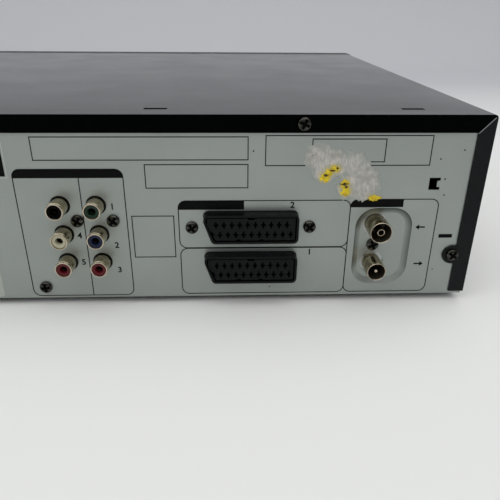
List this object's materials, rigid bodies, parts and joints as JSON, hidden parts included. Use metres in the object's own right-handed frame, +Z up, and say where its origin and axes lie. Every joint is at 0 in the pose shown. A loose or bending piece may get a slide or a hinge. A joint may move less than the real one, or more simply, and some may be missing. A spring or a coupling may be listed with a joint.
{
  "type": "dvd vcr combo player",
  "caption": "Disc and tape combination deck with a steel cover, silver socket panel, cassette mechanism and motor-driven disc tray.",
  "frame": {"origin": "centre of the overall box, on the surface the feet stand on", "axes": "+Z up, +Y out of the socket panel at the back, front panel faces -Y, tape deck on the -X side"},
  "size_m": [0.43, 0.354, 0.0975],
  "materials": {
    "cover_black": "satin charcoal paint",
    "panel_silver": "fine silver-grey paint",
    "zinc_sheet": "zinc plated sheet",
    "foot_rubber": "matte",
    "screw_black": "black oxide",
    "front_plastic": "dark moulded",
    "window_smoke": "smoked",
    "key_silver": "silver painted",
    "board_green": "solder resist",
    "board_tan": "phenolic board",
    "socket_black": "moulded",
    "nickel": "nickel plate",
    "insert_mixed": "coloured inserts",
    "tinplate": "tin plated",
    "black_plastic": "moulded",
    "gear_plastic": "acetal",
    "belt_rubber": "matte",
    "drum_alu": "turned",
    "steel": "plain",
    "core_iron": "lacquered",
    "tube_glass": "dark"
  },
  "bodies": {
    "housing": {"top_cover": "cover_black", "rear_panel": "panel_silver", "bottom_chassis": "zinc_sheet", "feet": "foot_rubber", "cover_screws": "screw_black", "panel_screws": "screw_black", "front_panel": "front_plastic", "display_window": "window_smoke", "front_board": "board_green", "display_tube": "tube_glass", "front_jacks": "socket_black", "phono_block": "socket_black", "phono_shells": "nickel", "phono_inserts": "insert_mixed", "scart_sockets": "socket_black", "tuner_can": "tinplate", "aerial_in_socket": "nickel", "aerial_out_plug": "nickel", "mains_inlet": "socket_black", "main_board": "board_green", "power_board": "board_tan", "transformer": "core_iron", "loader_frame": "black_plastic", "clamp_bridge": "zinc_sheet", "tray_motor": "steel", "tray_belt": "belt_rubber", "deck_plate": "zinc_sheet", "cradle_brackets": "zinc_sheet", "drum_base": "drum_alu", "fixed_heads": "steel", "loading_motor": "steel"},
    "cassette_flap": {"cassette_flap": "front_plastic"},
    "power_button": {"power_button": "key_silver"},
    "eject_button": {"eject_button": "key_silver"},
    "rewind_button": {"rewind_button": "key_silver"},
    "play_button": {"play_button": "key_silver"},
    "forward_button": {"forward_button": "key_silver"},
    "stop_button": {"stop_button": "key_silver"},
    "record_button": {"record_button": "key_silver"},
    "tray_button": {"tray_button": "key_silver"},
    "channel_rocker": {"channel_rocker": "key_silver"},
    "disc_tray": {"disc_tray": "black_plastic", "tray_door": "front_plastic"},
    "tray_gear": {"tray_gear": "gear_plastic"},
    "motor_pulley": {"motor_pulley": "gear_plastic"},
    "disc_clamp": {"disc_clamp": "black_plastic"},
    "traverse": {"traverse": "black_plastic"},
    "turntable": {"turntable": "black_plastic"},
    "pickup_sled": {"pickup_sled": "black_plastic"},
    "cassette_holder": {"cassette_holder": "zinc_sheet"},
    "head_drum": {"head_drum": "drum_alu"},
    "capstan": {"capstan": "steel"},
    "pinch_arm": {"pinch_arm": "steel"},
    "pinch_roller": {"pinch_roller": "belt_rubber"},
    "supply_reel": {"supply_reel": "gear_plastic"},
    "takeup_reel": {"takeup_reel": "gear_plastic"},
    "cam_gear": {"cam_gear": "gear_plastic"},
    "loading_pinion": {"loading_pinion": "gear_plastic"},
    "supply_guide": {"supply_guide": "gear_plastic"},
    "takeup_guide": {"takeup_guide": "gear_plastic"}
  },
  "joints": [
    {"name": "flap_hinge", "type": "hinge", "parent": "housing", "child": "cassette_flap", "pos_m": [-0.097, -0.1726, 0.0799], "axis": [1, 0, 0], "range_deg": [0, 84], "stiffness_Nm_per_rad": 0.004, "springref_deg": -17.19},
    {"name": "power_press", "type": "slide", "parent": "housing", "child": "power_button", "axis": [0, 1, 0], "range_m": [0, 0.0008], "stiffness_N_per_m": 400},
    {"name": "eject_press", "type": "slide", "parent": "housing", "child": "eject_button", "axis": [0, 1, 0], "range_m": [0, 0.0008], "stiffness_N_per_m": 400},
    {"name": "rewind_press", "type": "slide", "parent": "housing", "child": "rewind_button", "axis": [0, 1, 0], "range_m": [0, 0.0008], "stiffness_N_per_m": 400},
    {"name": "play_press", "type": "slide", "parent": "housing", "child": "play_button", "axis": [0, 1, 0], "range_m": [0, 0.0008], "stiffness_N_per_m": 400},
    {"name": "forward_press", "type": "slide", "parent": "housing", "child": "forward_button", "axis": [0, 1, 0], "range_m": [0, 0.0008], "stiffness_N_per_m": 400},
    {"name": "stop_press", "type": "slide", "parent": "housing", "child": "stop_button", "axis": [0, 1, 0], "range_m": [0, 0.0008], "stiffness_N_per_m": 400},
    {"name": "record_press", "type": "slide", "parent": "housing", "child": "record_button", "axis": [0, 1, 0], "range_m": [0, 0.0008], "stiffness_N_per_m": 400},
    {"name": "tray_key_press", "type": "slide", "parent": "housing", "child": "tray_button", "axis": [0, 1, 0], "range_m": [0, 0.0008], "stiffness_N_per_m": 400},
    {"name": "channel_rock", "type": "hinge", "parent": "housing", "child": "channel_rocker", "pos_m": [-0.014, -0.1689, 0.017], "axis": [1, 0, 0], "range_deg": [-3, 3], "stiffness_Nm_per_rad": 0.06},
    {"name": "tray_slide", "type": "slide", "parent": "housing", "child": "disc_tray", "axis": [0, -1, 0], "range_m": [0, 0.13]},
    {"name": "tray_gear_spin", "type": "hinge", "parent": "housing", "child": "tray_gear", "pos_m": [0.059, -0.144, 0.068], "axis": [0, 0, 1], "range_deg": [-1, 1066.1]},
    {"name": "motor_pulley_spin", "type": "hinge", "parent": "housing", "child": "motor_pulley", "pos_m": [0.101, -0.144, 0.058], "axis": [0, 0, 1], "range_deg": [-1, 3461.2]},
    {"name": "clamp_spin", "type": "hinge", "parent": "housing", "child": "disc_clamp", "pos_m": [0.11, -0.1074, 0.0745], "axis": [0, 0, 1], "continuous": true},
    {"name": "traverse_lift", "type": "hinge", "parent": "housing", "child": "traverse", "pos_m": [0.11, -0.0194, 0.056], "axis": [1, 0, 0], "range_deg": [-7.84, 0]},
    {"name": "turntable_spin", "type": "hinge", "parent": "traverse", "child": "turntable", "pos_m": [0.11, -0.1091, 0.06233], "axis": [0, -0.1364, 0.9907], "continuous": true},
    {"name": "sled_slide", "type": "slide", "parent": "traverse", "child": "pickup_sled", "axis": [0, 0.9907, 0.1364], "range_m": [0, 0.034]},
    {"name": "holder_slide", "type": "slide", "parent": "housing", "child": "cassette_holder", "axis": [0, 1, 0], "range_m": [0, 0.06]},
    {"name": "drum_spin", "type": "hinge", "parent": "housing", "child": "head_drum", "pos_m": [-0.1, 0.07, 0.034], "axis": [0, 0.1045, 0.9945], "continuous": true},
    {"name": "capstan_spin", "type": "hinge", "parent": "housing", "child": "capstan", "pos_m": [-0.038, 0.03, 0.026], "axis": [0, 0, 1], "continuous": true},
    {"name": "pinch_swing", "type": "hinge", "parent": "housing", "child": "pinch_arm", "pos_m": [-0.016, 0.044, 0.036], "axis": [0, 0, 1], "range_deg": [-40, 0]},
    {"name": "pinch_roller_spin", "type": "hinge", "parent": "pinch_arm", "child": "pinch_roller", "pos_m": [-0.01581, 0.024, 0.036], "axis": [0, 0, 1], "continuous": true},
    {"name": "supply_reel_spin", "type": "hinge", "parent": "housing", "child": "supply_reel", "pos_m": [-0.146, -0.034, 0.031], "axis": [0, 0, 1], "continuous": true},
    {"name": "takeup_reel_spin", "type": "hinge", "parent": "housing", "child": "takeup_reel", "pos_m": [-0.054, -0.034, 0.031], "axis": [0, 0, 1], "continuous": true},
    {"name": "cam_turn", "type": "hinge", "parent": "housing", "child": "cam_gear", "pos_m": [-0.174, 0.086, 0.028], "axis": [0, 0, 1], "range_deg": [0, 270]},
    {"name": "pinion_turn", "type": "hinge", "parent": "housing", "child": "loading_pinion", "pos_m": [-0.144, 0.086, 0.028], "axis": [0, 0, 1], "range_deg": [-1081, 1]},
    {"name": "supply_guide_slide", "type": "slide", "parent": "housing", "child": "supply_guide", "axis": [0.2169, 0.9762, 0], "range_m": [0, 0.05532]},
    {"name": "takeup_guide_slide", "type": "slide", "parent": "housing", "child": "takeup_guide", "axis": [-0.2169, 0.9762, 0], "range_m": [0, 0.05532]}
  ],
  "couplings": [
    {"joint": "tray_gear_spin", "follows": "tray_slide", "rad_per_m": 142.86},
    {"joint": "motor_pulley_spin", "follows": "tray_slide", "rad_per_m": 464.29},
    {"joint": "pinion_turn", "follows": "cam_turn", "ratio": -4},
    {"joint": "supply_guide_slide", "follows": "cam_turn", "m_per_rad": 0.011739},
    {"joint": "takeup_guide_slide", "follows": "cam_turn", "m_per_rad": 0.011739}
  ]
}
